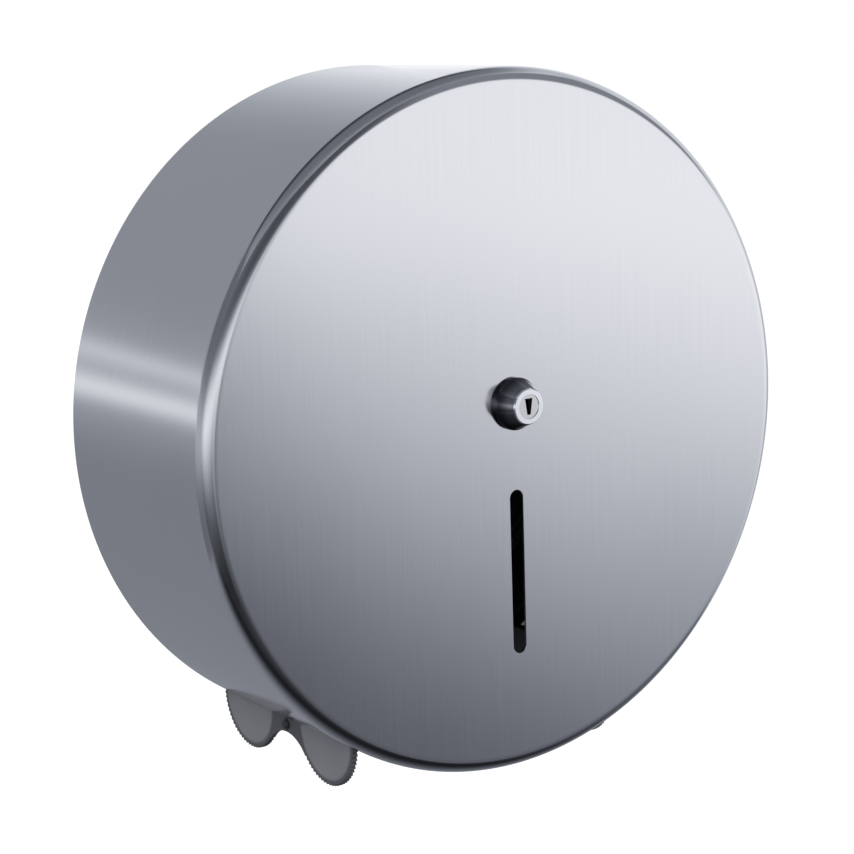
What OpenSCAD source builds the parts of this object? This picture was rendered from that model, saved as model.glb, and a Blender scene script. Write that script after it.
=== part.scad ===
// Wall-mounted jumbo toilet roll dispenser in stainless sheet. A round cover swings on a
// hinge at its right-hand side, a cam lock in its middle latches to the end of the roll
// spindle, and two toothed plastic cutters hang at either side of the paper outlet.
//
// Pieces are drawn in wall coordinates: X to the right, Y up and Z out of the wall.
// from_wall() then stands them up, so that the wall is the plane Y = 0, the front
// faces -Y, Z is up and the origin is where the drum's axis meets the wall.

/* [Drum cover] */
// Outside diameter of the drum
drum_d = 305; // [290:1:330]
// Distance from the wall to the front face
drum_depth = 113.5; // [105:0.5:135]
// Thickness of the stainless sheet of cover and back plate
sheet_t = 1; // [0.8:0.1:1.2]
// Outside radius of the rounded front edge
front_edge_r = 6; // [4:0.5:8]
// Gap between the drum's rear edge and the wall
wall_gap = 0.6; // [0.4:0.1:1]

/* [Level slot] */
// Width of the upright slot that shows how much paper is left
slot_w = 7; // [5:0.5:10]
// Overall length of the slot
slot_len = 73; // [50:1:90]
// Distance of the slot's top end below the drum's axis
slot_top = 27.5; // [24:0.5:40]

/* [Paper outlet] */
// Distance of the left-hand cutter's outer face from the drum's axis
cutter_left_x = 85.5; // [75:0.5:92]
// Distance of the right-hand cutter's outer face from the drum's axis
cutter_right_x = 55.5; // [52:0.5:70]
// Lip that the outlet leaves behind the front face
outlet_lip = 4; // [3.5:0.5:10]
// Depth of the stiffening flaps that are turned up inside the drum
flap_h = 18; // [16:1:24]
// Distance that each flap stops short of the outlet's front and back ends
flap_end_gap = 8; // [5:0.5:15]

/* [Cutters] */
// Thickness of the plastic blade
blade_t = 2.5; // [2:0.1:3.5]
// Radius of each rounded lobe
lobe_r = 22; // [20:0.5:24]
// Distance between the two lobes
lobe_pitch = 63.4; // [60:0.1:66]
// Distance that the left-hand cutter's lobes hang below the drum, at its outer face
lobe_hang = 21.7; // [20:0.1:26]
// Distance that the valley between them lies below the drum
valley_hang = 6.4; // [5.6:0.1:8]
// Distance that the right-hand cutter's lobes hang below the drum, at its outer face
right_hang = 12.4; // [12:0.1:14.4]
// Pitch of the cutting teeth round a lobe
tooth_pitch = 2.2; // [1.6:0.1:4]
// Depth of the cutting teeth
tooth_depth = 1; // [0.5:0.1:1.5]
// Thickness of the steel strip behind the blade
backing_t = 1; // [0.8:0.1:1.5]
// Shank diameter of the cutter rivets
cutter_rivet_d = 3.2; // [2.5:0.1:4]
// Shank diameter of the screw in the valley
cutter_screw_d = 2.5; // [2:0.1:3]
// Distance of the rivets from the flap's front and back ends
cutter_rivet_inset = 14; // [10:0.5:24]

/* [Back plate] */
// Gap between the plate's rim and the inside of the drum
rim_gap = 2.5; // [2:0.1:4]
// Height of the rim, from the wall
rim_h = 10; // [6:0.5:16]
// Distance of the pressed stiffening bead from the plate's edge
bead_inset = 31; // [28:1:37]
// Radius of the bead's round section
bead_r = 5; // [4:0.5:6]
// Height of the bead above the plate
bead_h = 1.6; // [1:0.1:2.5]
// Distance between the wall screw holes, both ways
wall_hole_pitch = 120; // [110:1:135]
// Diameter of the wall screw holes
wall_hole_d = 6.5; // [5:0.1:8]

/* [Spindle] */
// Height of the spindle and the lock above the drum's axis
spindle_up = 10.4; // [0:0.1:15]
// Diameter of the fixed post
post_d = 16; // [12:0.5:18]
// Diameter of the post's riveted tenon
tenon_d = 10; // [8:0.5:11]
// Diameter of the flange that carries the post
flange_d = 96; // [85:1:110]
// Thickness of the flange
flange_t = 2; // [1.5:0.1:3]
// Pitch circle of the flange rivets
flange_rivet_pcd = 74; // [66:1:78]
// Shank diameter of the flange rivets
flange_rivet_d = 4.8; // [4:0.1:6]
// Thickness of the nylon washer behind the hub
rear_washer_t = 3.8; // [3.2:0.1:5]
// Thickness of the nylon washer before the hub
front_washer_t = 1.6; // [1:0.1:3]

/* [Roll hub] */
// Outside diameter of the hub's barrel
hub_d = 43; // [42.5:0.1:45]
// Diameter of the flange that keeps the roll off the back plate
hub_flange_d = 90; // [86:1:100]
// Thickness of that flange
hub_flange_t = 3; // [2:0.1:4]
// Wall thickness of the moulded hub and core adapter
hub_wall = 2.2; // [1.5:0.1:3]
// Number of webs inside the hub, and inside the adapter
hub_webs = 6; // [4:1:8]
// Outside diameter of the core adapter, for a 60 mm paper core
adapter_d = 59; // [56:0.5:59.5]

/* [Latch keeper] */
// Outside diameter of the cup on the end of the post
keeper_d = 42; // [41:0.1:42.4]
// Sheet thickness of the cup and its slotted plate
keeper_t = 1.5; // [1:0.1:2]
// Depth of the cup, from the post to the slotted plate
keeper_depth = 12.5; // [12:0.1:16]
// Length of the slot that lets the lock's bar through
keeper_slot_len = 36; // [34:0.5:37]
// Height of that slot
keeper_slot_h = 11; // [10.8:0.1:12]
// Diameter of the screw that holds the cup
keeper_screw_d = 6; // [5:0.5:6.5]
// Length of that screw below its head
keeper_screw_len = 18; // [12:1:24]

/* [Lock] */
// Diameter of the lock's head where it meets the cover
lock_base_d = 22.8; // [21.5:0.1:25]
// Diameter of the lock's front face
lock_nose_d = 14.8; // [14.2:0.1:16]
// Distance that the lock stands out of the cover
lock_out = 10.5; // [8:0.1:13]
// Diameter of the lock's threaded barrel
barrel_d = 19; // [18:0.1:20]
// Width across the barrel's two flats
barrel_flats = 17; // [15.5:0.1:17.5]
// Length of the barrel behind the front face
barrel_len = 10; // [9:0.5:12]
// Diameter of the turning plug
plug_d = 12.4; // [11.5:0.1:12.8]
// Thickness of the lip that keeps the plug in
plug_lip = 1.2; // [0.8:0.1:1.6]
// Width of the keyway
keyway_w = 1.8; // [1.6:0.1:2.6]
// Height of the keyway
keyway_h = 7; // [6:0.1:7.6]
// Width of the keyway's mouth at its top, where it is flared to guide the key
keyway_mouth_w = 4; // [3:0.1:4.4]
// Number of wafers
wafers = 4; // [3:1:5]
// Thickness of a wafer
wafer_t = 0.8; // [0.6:0.1:1]
// Length of the bar that turns behind the keeper
bar_len = 25; // [23:0.5:27]
// Height of the bar
bar_h = 7; // [6.2:0.1:7.4]
// Thickness of the bar
bar_t = 2.8; // [2:0.1:3]
// Gap between the bar and the keeper plate
latch_gap = 1.1; // [0.8:0.1:1.5]
// Across-flats size of the lock nut
nut_af = 24; // [23:0.5:27]
// Thickness of the lock nut
nut_t = 4; // [3:0.1:4.5]
// Thickness of the lock washer
lock_washer_t = 0.8; // [0.5:0.1:1]

/* [Hinge] */
// Overall length of the hinge
hinge_len = 56; // [50:1:62]
// Thickness of the hinge leaves
leaf_t = 1.2; // [1:0.1:1.5]
// Diameter of the hinge pin
hinge_pin_d = 3; // [2.5:0.1:3.5]
// Width of the moving leaf along the drum
moving_leaf_w = 24; // [20:0.5:30]
// Width of the fixed leaf, from the pin inwards
fixed_leaf_w = 28; // [24:0.5:30]
// Shank diameter of the hinge rivets
hinge_rivet_d = 3.2; // [2.5:0.1:4]

/* [Fits] */
// Radial clearance of a turning fit
running_fit = 0.06; // [0.03:0.01:0.09]
// Radial clearance round a rivet, screw or washer
shank_fit = 0.1; // [0.05:0.01:0.2]
// End play on each side of a turning piece
end_play = 0.2; // [0.1:0.05:0.3]

/* [Hidden] */
$fn = 96;

cut = 1;                                  // how far a cutter runs past what it cuts
drum_r = drum_d / 2;
drum_in_r = drum_r - sheet_t;
back_r = drum_in_r - rim_gap;
bead_ring_r = back_r - bead_inset;

// Hinge: the pin stands clear of the drum, in front of the back plate
knuckle_r = hinge_pin_d / 2 + running_fit + leaf_t;
knuckle_clear = 0.8;
hinge_x = drum_r + knuckle_clear + knuckle_r;
hinge_z = sheet_t + knuckle_r;
knuckles = 5;
knuckle_gap = 0.3;
knuckle_pitch = (hinge_len + knuckle_gap) / knuckles;
knuckle_len = knuckle_pitch - knuckle_gap;
leaf_seat = 0.05;                         // between the curved leaf and the drum
moving_leaf_z = hinge_z + knuckle_r + 1.4;
hinge_rivet_up = 19 / 56 * hinge_len;     // rivets above and below the hinge's middle
fixed_rivet_x = hinge_x - 0.68 * fixed_leaf_w;
moving_rivet_z = moving_leaf_z + 0.58 * moving_leaf_w;
rivet_head_ratio = 1.9;                   // head diameter over shank diameter
rivet_head_h_ratio = 0.42;                // head height over shank diameter
leaf_clear = 0.7;                         // round the fixed leaf in the rim and the drum

// Outlet and cutters
outlet_front = drum_depth - outlet_lip;
blade_rear = sheet_t + 0.6;
blade_front = outlet_front - 0.5;
blade_mid = (blade_rear + blade_front) / 2;
wall_at_left = sqrt(pow(drum_r, 2) - pow(cutter_left_x, 2));
wall_at_right = sqrt(pow(drum_r, 2) - pow(cutter_right_x, 2));
right_low = wall_at_right + right_hang - wall_at_left - lobe_hang;
flap_top = wall_at_left - flap_h;
flap_rear = rim_h + 2;
flap_front = outlet_front - flap_end_gap;
lobe_up = lobe_r - lobe_hang - wall_at_left;   // height of the left lobes' centres
valley_top = -wall_at_left - valley_hang;
// the valley is an arc that runs into both lobes
valley_drop = lobe_up - valley_top;
valley_r = (pow(lobe_pitch / 2, 2) + pow(valley_drop, 2) - pow(lobe_r, 2)) / 2 / (lobe_r - valley_drop);
valley_down = valley_drop + valley_r;     // from the lobes' centres to the valley's
lobe_tangent = lobe_r / (lobe_r + valley_r);
teeth = round(2 * PI * lobe_r / tooth_pitch);
cutter_head_d = 2 * cutter_screw_d;
cutter_head_clear = 0.3;                  // below the drum, on the left
cutter_screw_up = -wall_at_left - cutter_head_clear - cutter_head_d / 2;
cutter_head_h = 1.6;
cutter_nut_t = 1.8;
cutter_rivet_up = -flap_top - 6;
cutter_rivet_z = [flap_rear + cutter_rivet_inset, flap_front - cutter_rivet_inset];

// Lock: measured back from the front face
barrel_rear = drum_depth - barrel_len;
nose_z = drum_depth + lock_out;
clip_t = 1;
clip_front = barrel_rear - 0.1;
clip_rear = clip_front - clip_t;
collar_t = 1.7;
collar_rear = clip_rear - 0.1 - collar_t;
collar_clear = 1.6;                       // between the collar and the keeper plate
plug_neck_r = 5;
collar_r = 6;
tail_r = 4;
tail_side = 5.6;
plug_nose_r = plug_d / 2 - 0.9;
plug_face = nose_z - 0.3;
lock_bore_r = plug_d / 2 + running_fit;
keyway_depth = 17;
keyway_mouth_depth = 1.4;
wafer_w = 4.4;
wafer_pitch = 2.6;
wafer_gap = 0.1;
bar_screw_d = 3.5;
bar_screw_head_d = 7.6;
bar_screw_head_h = 2.2;
bar_screw_len = 11;

// Latch keeper and spindle: measured back from the lock
keeper_front = collar_rear - collar_clear;
keeper_back = keeper_front - keeper_t;
post_front = keeper_back - keeper_depth;
bar_front = keeper_back - latch_gap;
bar_rear = bar_front - bar_t;
flange_front = sheet_t + flange_t;
post_bore_r = post_d / 2 + running_fit;
hub_rear = flange_front + rear_washer_t + end_play;
hub_front = post_front - front_washer_t - 2 * end_play;
hub_boss_r = post_bore_r + hub_wall + 1;
adapter_in_r = hub_d / 2 + 0.2;
adapter_rear = hub_rear + hub_flange_t + 0.2;
adapter_front = hub_front - 1;
keeper_head_d = 11;
keeper_head_h = 3.2;

module from_wall() rotate([90, 0, 0]) children();

module at_spindle() from_wall() translate([0, spindle_up, 0]) children();

// A tube or washer round Z between two heights
module tube(r_out, r_in, from, to) {
    translate([0, 0, from])
    difference() {
        cylinder(h = to - from, r = r_out);
        translate([0, 0, -cut]) cylinder(h = to - from + 2 * cut, r = r_in);
    }
}

// A round bar or hole along Z between two heights
module rod(r, from, to) translate([0, 0, from]) cylinder(h = to - from, r = r);

// A solid drum with a rounded front edge, from a height to its face
module drum_solid(r, from, face, edge_r) {
    rotate_extrude()
    union() {
        translate([0, from]) square([r, face - edge_r - from]);
        translate([0, from]) square([r - edge_r, face - from]);
        intersection() {
            translate([r - edge_r, face - edge_r]) circle(r = edge_r);
            translate([0, from]) square([r, face - from]);
        }
    }
}

// A rivet or screw along Z: its head stands on Z = 0 and its shank runs down from there
module headed(shank_d, length, head_d, head_h, tail_d = 0, tail_h = 0) {
    chamfer = 0.3 * head_h;
    rotate_extrude()
    polygon([[0, head_h], [head_d / 2 - 2 * chamfer, head_h], [head_d / 2, head_h - 1.5 * chamfer],
             [head_d / 2, 0], [shank_d / 2, 0], [shank_d / 2, -length], [tail_d / 2, -length],
             [tail_d / 2, -length - tail_h], [0, -length - tail_h]]);
}

// A rivet with its head and tail in proportion to its shank
module rivet(shank_d, grip, flush = false) {
    headed(shank_d, grip, shank_d * rivet_head_ratio, shank_d * rivet_head_h_ratio,
           flush ? shank_d : shank_d * 1.5, flush ? 0 : shank_d * 0.3);
}

// Turns what is drawn in depth and height into a plate that faces sideways
module side_plate(thickness) rotate([0, -90, 0]) linear_extrude(height = thickness) children();

// Repeats a piece round the spindle
module round_spindle(count, radius, first = 0) {
    for (i = [0 : count - 1]) rotate([0, 0, first + i * 360 / count]) translate([radius, 0, 0]) children();
}

/* ---- on the wall ---- */

module back_plate() {
    bead_z = sheet_t + bead_h - bead_r;
    color("silver")
    from_wall()
    difference() {
        union() {
            rod(back_r, 0, sheet_t);
            difference() {
                tube(back_r, back_r - sheet_t, 0, rim_h);
                // rim left out over the paper outlet and behind the hinge
                translate([-cutter_left_x - 6, -back_r - cut, sheet_t])
                    cube([cutter_left_x + cutter_right_x + 12, back_r - flap_top, rim_h]);
                translate([back_r - 3 * rim_gap, -hinge_len / 2 - leaf_clear, sheet_t])
                    cube([4 * rim_gap, hinge_len + 2 * leaf_clear, rim_h]);
            }
            rotate_extrude()
            intersection() {
                translate([bead_ring_r, bead_z]) circle(r = bead_r);
                translate([bead_ring_r - bead_r, 0]) square([2 * bead_r, sheet_t + bead_h]);
            }
        }
        // hollow behind the bead
        rotate_extrude()
        intersection() {
            translate([bead_ring_r, bead_z]) circle(r = bead_r - sheet_t);
            translate([bead_ring_r - bead_r, -cut]) square([2 * bead_r, sheet_t + bead_h + cut]);
        }
        // wall screws
        for (x = [-1, 1], y = [-1, 1])
            translate([x, y, 0] * wall_hole_pitch / 2) rod(wall_hole_d / 2, -cut, sheet_t + cut);
        // hinge rivets
        for (y = [-1 : 1])
            translate([fixed_rivet_x, y * hinge_rivet_up, 0])
                rod(hinge_rivet_d / 2 + shank_fit, -cut, sheet_t + cut);
        // flange rivets
        translate([0, spindle_up, 0]) round_spindle(4, flange_rivet_pcd / 2, 45)
            rod(flange_rivet_d / 2 + shank_fit, -cut, sheet_t + cut);
    }
}

// One knuckle of the hinge, numbered from the lowest
module knuckle(i) {
    translate([hinge_x, -hinge_len / 2 + i * knuckle_pitch, hinge_z])
    rotate([-90, 0, 0])
        cylinder(h = knuckle_len, r = knuckle_r);
}

module pin_hole() {
    translate([hinge_x, -hinge_len / 2 - cut, hinge_z])
    rotate([-90, 0, 0])
        cylinder(h = hinge_len + 2 * cut, r = hinge_pin_d / 2 + running_fit);
}

module hinge_leaf_fixed() {
    color("silver")
    from_wall()
    difference() {
        union() {
            translate([hinge_x - fixed_leaf_w, -hinge_len / 2, sheet_t])
                cube([fixed_leaf_w, hinge_len, leaf_t]);
            for (i = [0, 2, 4]) knuckle(i);
        }
        // room for the moving knuckles
        for (i = [1, 3])
            translate([hinge_x - knuckle_r - knuckle_clear / 2,
                       -hinge_len / 2 + i * knuckle_pitch - knuckle_gap, 0])
                cube([3 * knuckle_r, knuckle_len + 2 * knuckle_gap, 3 * knuckle_r]);
        pin_hole();
        for (y = [-1 : 1])
            translate([fixed_rivet_x, y * hinge_rivet_up, 0])
                rod(hinge_rivet_d / 2 + shank_fit, 0, sheet_t + leaf_t + cut);
    }
}

module hinge_pin() {
    head_h = 1;
    color("gainsboro")
    from_wall()
    translate([hinge_x, -hinge_len / 2, hinge_z])
    rotate([-90, 0, 0]) {
        cylinder(h = hinge_len, r = hinge_pin_d / 2);
        translate([0, 0, -head_h]) cylinder(h = head_h, r = hinge_pin_d / 2 + 0.7);
        translate([0, 0, hinge_len]) cylinder(h = head_h, r = hinge_pin_d / 2 + 0.7);
    }
}

module hinge_rivets_fixed() {
    color("gainsboro")
    from_wall()
    for (y = [-1 : 1])
        translate([fixed_rivet_x, y * hinge_rivet_up, sheet_t + leaf_t])
            rivet(hinge_rivet_d, sheet_t + leaf_t, flush = true);
}

module spindle_flange() {
    color("silver")
    at_spindle()
    difference() {
        rod(flange_d / 2, sheet_t, flange_front);
        rod(tenon_d / 2 + shank_fit, 0, flange_front + cut);
        round_spindle(4, flange_rivet_pcd / 2, 45)
            rod(flange_rivet_d / 2 + shank_fit, 0, flange_front + cut);
    }
}

module flange_rivets() {
    color("gainsboro")
    at_spindle()
    round_spindle(4, flange_rivet_pcd / 2, 45)
    translate([0, 0, flange_front])
        rivet(flange_rivet_d, flange_front, flush = true);
}

module spindle_post() {
    color("silver")
    at_spindle()
    difference() {
        union() {
            rod(tenon_d / 2, sheet_t, flange_front);
            rod(post_d / 2, flange_front, post_front);
        }
        rod(keeper_screw_d / 2 + shank_fit, post_front + keeper_t - keeper_screw_len - 2, post_front + cut);
    }
}

module rear_washer() {
    color("white")
    at_spindle()
        tube(post_d / 2 + 5, post_d / 2 + 2 * shank_fit, flange_front, flange_front + rear_washer_t);
}

module front_washer() {
    color("white")
    at_spindle()
        tube(post_d / 2 + 6, post_d / 2 + 2 * shank_fit, hub_front + end_play, post_front - end_play);
}

module keeper_cup() {
    color("silver")
    at_spindle() {
        tube(keeper_d / 2, keeper_screw_d / 2 + 2 * shank_fit, post_front, post_front + keeper_t);
        tube(keeper_d / 2, keeper_d / 2 - keeper_t, post_front, keeper_back);
    }
}

module keeper_plate() {
    color("silver")
    at_spindle()
    difference() {
        rod(keeper_d / 2, keeper_back, keeper_front);
        translate([-keeper_slot_len / 2, -keeper_slot_h / 2, keeper_back - cut])
            cube([keeper_slot_len, keeper_slot_h, keeper_t + 2 * cut]);
    }
}

module keeper_screw() {
    color("dimgray")
    at_spindle()
    translate([0, 0, post_front + keeper_t])
    difference() {
        headed(keeper_screw_d, keeper_screw_len, keeper_head_d, keeper_head_h);
        // hexagon socket
        translate([0, 0, 0.4 * keeper_head_h]) cylinder(h = keeper_head_h, r = 2.3, $fn = 6);
    }
}

/* ---- cover ---- */

module slot_opening() {
    low = -slot_top - slot_len + slot_w / 2;
    high = -slot_top - slot_w / 2;
    translate([0, 0, drum_depth - 3 * front_edge_r])
    linear_extrude(height = 4 * front_edge_r) {
        translate([0, high]) circle(r = slot_w / 2);
        translate([0, low]) circle(r = slot_w / 2);
        translate([-slot_w / 2, low]) square([slot_w, high - low]);
    }
}

// Section of the barrel: round with two upright flats
module barrel_section(gap = 0) {
    intersection() {
        circle(r = barrel_d / 2 + gap);
        square([barrel_flats + 2 * gap, 2 * barrel_d], center = true);
    }
}

// Places a piece at each radial rivet of the moving leaf, on the drum's surface
module at_moving_rivets() {
    for (y = [-1 : 1])
        rotate([0, 0, asin(y * hinge_rivet_up / drum_r)])
        translate([drum_r, 0, moving_rivet_z])
        rotate([0, 90, 0])
            children();
}

// A side of the outlet: its pieces are drawn with the cutter's outer face on X = 0, facing
// out of the outlet, and those of the right-hand side lie lower
module left_side() mirror([1, 0, 0]) translate([cutter_left_x, 0, 0]) children();

module right_side() translate([cutter_right_x, -right_low, 0]) children();

module both_sides() {
    left_side() children();
    right_side() children();
}

// Places a piece at each cutter rivet of one side, pointing out of the outlet
module at_cutter_rivets() {
    for (z = cutter_rivet_z)
        translate([sheet_t, cutter_rivet_up, z])
        rotate([0, 90, 0])
            children();
}

// Places a piece at the cutter screw of one side, pointing out of the outlet
module at_cutter_screw() {
    translate([0, cutter_screw_up, blade_mid])
    rotate([0, 90, 0])
        children();
}

module cover_shell() {
    color("silver")
    from_wall()
    difference() {
        union() {
            difference() {
                drum_solid(drum_r, wall_gap, drum_depth, front_edge_r);
                drum_solid(drum_in_r, wall_gap - cut, drum_depth - sheet_t, front_edge_r - sheet_t);
                // paper outlet, open at the drum's rear edge
                translate([-cutter_left_x, -drum_r - cut, 0])
                    cube([cutter_left_x + cutter_right_x, drum_r + cut - flap_top, outlet_front]);
            }
            // flaps turned up at the sides of the outlet
            intersection() {
                both_sides()
                translate([0, -drum_r, flap_rear])
                    cube([sheet_t, drum_r - flap_top, flap_front - flap_rear]);
                rod(drum_r - sheet_t / 2, 0, drum_depth);
            }
        }
        slot_opening();
        translate([0, spindle_up, drum_depth - 2 * front_edge_r])
            linear_extrude(height = 3 * front_edge_r) barrel_section(shank_fit);
        // rear edge stops short over the fixed hinge leaf
        translate([drum_r / 2, -hinge_len / 2 - leaf_clear, -cut])
            cube([drum_r, hinge_len + 2 * leaf_clear, cut + sheet_t + leaf_t + leaf_clear]);
        at_moving_rivets() rod(hinge_rivet_d / 2 + shank_fit, -3 * sheet_t, cut);
        both_sides() {
            at_cutter_rivets() rod(cutter_rivet_d / 2 + shank_fit, -3 * sheet_t, cut);
            // room for the screw's head
            at_cutter_screw() rod(cutter_head_d / 2 + 2 * shank_fit, -cut, cutter_head_h + 2 * shank_fit);
        }
    }
}

module hinge_leaf_moving() {
    seat_r = drum_r + leaf_seat;
    color("silver")
    from_wall()
    difference() {
        union() {
            intersection() {
                tube(seat_r + leaf_t, seat_r, moving_leaf_z, moving_leaf_z + moving_leaf_w);
                translate([0, -hinge_len / 2, 0]) cube([drum_d, hinge_len, drum_depth]);
            }
            for (i = [1, 3]) {
                knuckle(i);
                // arm from the knuckle to the leaf, cut to the drum
                difference() {
                    translate([drum_r - 2, -hinge_len / 2 + i * knuckle_pitch, hinge_z])
                        cube([2 + knuckle_clear + leaf_t, knuckle_len, moving_leaf_z - hinge_z + 3]);
                    rod(seat_r, 0, drum_depth);
                }
            }
        }
        pin_hole();
        at_moving_rivets() rod(hinge_rivet_d / 2 + shank_fit, -cut, 3 * leaf_t);
    }
}

module hinge_rivets_moving() {
    color("gainsboro")
    from_wall()
    at_moving_rivets()
    translate([0, 0, leaf_seat + leaf_t + 0.05])
        rivet(hinge_rivet_d, leaf_seat + leaf_t + sheet_t + 0.1);
}

module lock_housing() {
    base_r = lock_base_d / 2;
    nose_r = lock_nose_d / 2;
    color("lightgray")
    at_spindle()
    difference() {
        union() {
            rotate_extrude()
            polygon([[0, drum_depth], [base_r, drum_depth], [base_r, drum_depth + 0.16 * lock_out],
                     [base_r - 0.5, drum_depth + 0.22 * lock_out], [nose_r + 0.5, nose_z - 0.7],
                     [nose_r, nose_z], [0, nose_z]]);
            translate([0, 0, barrel_rear]) linear_extrude(height = barrel_len) barrel_section();
        }
        rod(lock_bore_r, barrel_rear - cut, nose_z - plug_lip);
        rod(plug_nose_r + running_fit, 0, nose_z + cut);
    }
}

module lock_washer() {
    color("gainsboro")
    at_spindle()
        tube(barrel_d / 2 + 3.4, barrel_d / 2 + shank_fit,
             drum_depth - sheet_t - lock_washer_t, drum_depth - sheet_t);
}

module lock_nut() {
    front = drum_depth - sheet_t - lock_washer_t;
    color("gainsboro")
    at_spindle()
    translate([0, 0, front - nut_t])
    difference() {
        cylinder(h = nut_t, r = nut_af / sqrt(3), $fn = 6);
        rod(barrel_d / 2 + shank_fit, -cut, nut_t + cut);
    }
}

// A toothed disc, drawn in depth and height
module toothed_disc(r) {
    polygon([for (i = [0 : 2 * teeth - 1])
        let (a = i * 180 / teeth, here = i % 2 == 0 ? r : r - tooth_depth)
        [here * sin(a), -here * cos(a)]]);
}

// Outline of a cutter in depth and height: two toothed lobes below a straight strip
module cutter_outline() {
    tangent_z = lobe_tangent * lobe_pitch / 2;
    tangent_up = lobe_up - lobe_tangent * valley_down;
    intersection() {
        translate([blade_rear, -drum_r]) square([blade_front - blade_rear, drum_r - flap_top]);
        difference() {
            union() {
                translate([blade_rear, lobe_up]) square([blade_front - blade_rear, -flap_top - lobe_up]);
                for (s = [-1, 1])
                    translate([blade_mid + s * lobe_pitch / 2, lobe_up]) toothed_disc(lobe_r);
                polygon([[blade_mid - lobe_pitch / 2, lobe_up], [blade_mid - lobe_pitch / 2 + tangent_z, tangent_up],
                         [blade_mid + lobe_pitch / 2 - tangent_z, tangent_up], [blade_mid + lobe_pitch / 2, lobe_up]]);
            }
            translate([blade_mid, lobe_up - valley_down]) circle(r = valley_r);
        }
    }
}

// Holes for rivets and screw through the blade and its backing
module cutter_holes() {
    at_cutter_rivets() rod(cutter_rivet_d / 2 + shank_fit, -4 * blade_t, cut);
    at_cutter_screw() rod(cutter_screw_d / 2 + shank_fit, -4 * blade_t, cut);
}

module cutter() {
    color([0.42, 0.42, 0.42])
    difference() {
        side_plate(blade_t) cutter_outline();
        cutter_holes();
    }
}

module cutter_right() from_wall() right_side() cutter();

module cutter_left() from_wall() left_side() cutter();

// Steel strip on the inner side of a blade
module cutter_backing() {
    color("silver")
    difference() {
        translate([-blade_t - backing_t, valley_top + 0.6, flap_rear])
            cube([backing_t, -flap_top - valley_top - 0.6, flap_front - flap_rear]);
        cutter_holes();
    }
}

module cutter_backing_right() from_wall() right_side() cutter_backing();

module cutter_backing_left() from_wall() left_side() cutter_backing();

module cutter_rivets() {
    color("gainsboro")
    from_wall()
    both_sides()
    at_cutter_rivets()
        rivet(cutter_rivet_d, sheet_t + blade_t + backing_t);
}

module cutter_screws() {
    color([0.15, 0.15, 0.15])
    from_wall()
    both_sides()
    at_cutter_screw()
        headed(cutter_screw_d, blade_t + backing_t + cutter_nut_t + 0.5, cutter_head_d, cutter_head_h);
}

module cutter_nuts() {
    color("gainsboro")
    from_wall()
    both_sides()
    at_cutter_screw()
    translate([0, 0, -blade_t - backing_t - cutter_nut_t])
    difference() {
        cylinder(h = cutter_nut_t, r = cutter_screw_d, $fn = 6);
        rod(cutter_screw_d / 2 + shank_fit, -cut, cutter_nut_t + cut);
    }
}

/* ---- lock rotor ---- */

// Centres of the wafers along the plug
function wafer_z(i) = plug_face - 4 - i * wafer_pitch;

module lock_plug() {
    color("khaki")
    at_spindle()
    difference() {
        union() {
            rod(plug_nose_r, nose_z - plug_lip - end_play, plug_face);
            rod(plug_d / 2, barrel_rear, nose_z - plug_lip - end_play);
            rod(plug_neck_r, collar_rear, barrel_rear);
            rod(collar_r, collar_rear, collar_rear + collar_t);
            rod(tail_r, bar_front, collar_rear);
            translate([-tail_side / 2, -tail_side / 2, bar_rear]) cube([tail_side, tail_side, bar_t]);
        }
        translate([-keyway_w / 2, -keyway_h / 2, plug_face - keyway_depth])
            cube([keyway_w, keyway_h, keyway_depth + cut]);
        translate([0, 0, plug_face - keyway_mouth_depth])
        linear_extrude(height = keyway_mouth_depth + cut)
            polygon([[-keyway_w / 2, -keyway_h / 2], [keyway_w / 2, -keyway_h / 2],
                     [keyway_mouth_w / 2, keyway_h / 2], [-keyway_mouth_w / 2, keyway_h / 2]]);
        for (i = [0 : wafers - 1])
            translate([-wafer_w / 2 - wafer_gap, -plug_d, wafer_z(i) - wafer_t / 2 - wafer_gap])
                cube([wafer_w + 2 * wafer_gap, 2 * plug_d, wafer_t + 2 * wafer_gap]);
        rod(bar_screw_d / 2 + shank_fit, bar_rear - cut, bar_rear + bar_screw_len + 1);
    }
}

module lock_wafers() {
    window_gap = 0.2;
    height = 2 * sqrt(pow(plug_d / 2, 2) - pow(wafer_w / 2, 2)) - wafer_gap;
    color("goldenrod")
    at_spindle()
    for (i = [0 : wafers - 1])
        translate([0, 0, wafer_z(i)])
        difference() {
            cube([wafer_w, height, wafer_t], center = true);
            cube([keyway_w + 2 * window_gap, keyway_h + 2 * window_gap, 2 * wafer_t], center = true);
        }
}

module lock_clip() {
    color("dimgray")
    at_spindle()
    difference() {
        tube(plug_d / 2 + 1.4, plug_neck_r + shank_fit, clip_rear, clip_front);
        // open side of the clip
        translate([-1.5, -2 * plug_neck_r, clip_rear - cut]) cube([3, 2 * plug_neck_r, clip_t + 2 * cut]);
    }
}

module lock_bar() {
    hole = tail_side + 2 * shank_fit;
    color("gainsboro")
    at_spindle()
    translate([0, 0, bar_rear])
    difference() {
        intersection() {
            translate([-bar_len / 2, -bar_h / 2, 0]) cube([bar_len, bar_h, bar_t]);
            rod(bar_len / 2, -cut, bar_t + cut);
        }
        translate([-hole / 2, -hole / 2, -cut]) cube([hole, hole, bar_t + 2 * cut]);
    }
}

module lock_bar_screw() {
    color("dimgray")
    at_spindle()
    translate([0, 0, bar_rear])
    mirror([0, 0, 1])
    difference() {
        headed(bar_screw_d, bar_screw_len, bar_screw_head_d, bar_screw_head_h);
        // crossed recess
        for (a = [0, 90])
            rotate([0, 0, a]) translate([-2, -0.45, 0.45 * bar_screw_head_h]) cube([4, 0.9, bar_screw_head_h]);
    }
}

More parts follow.
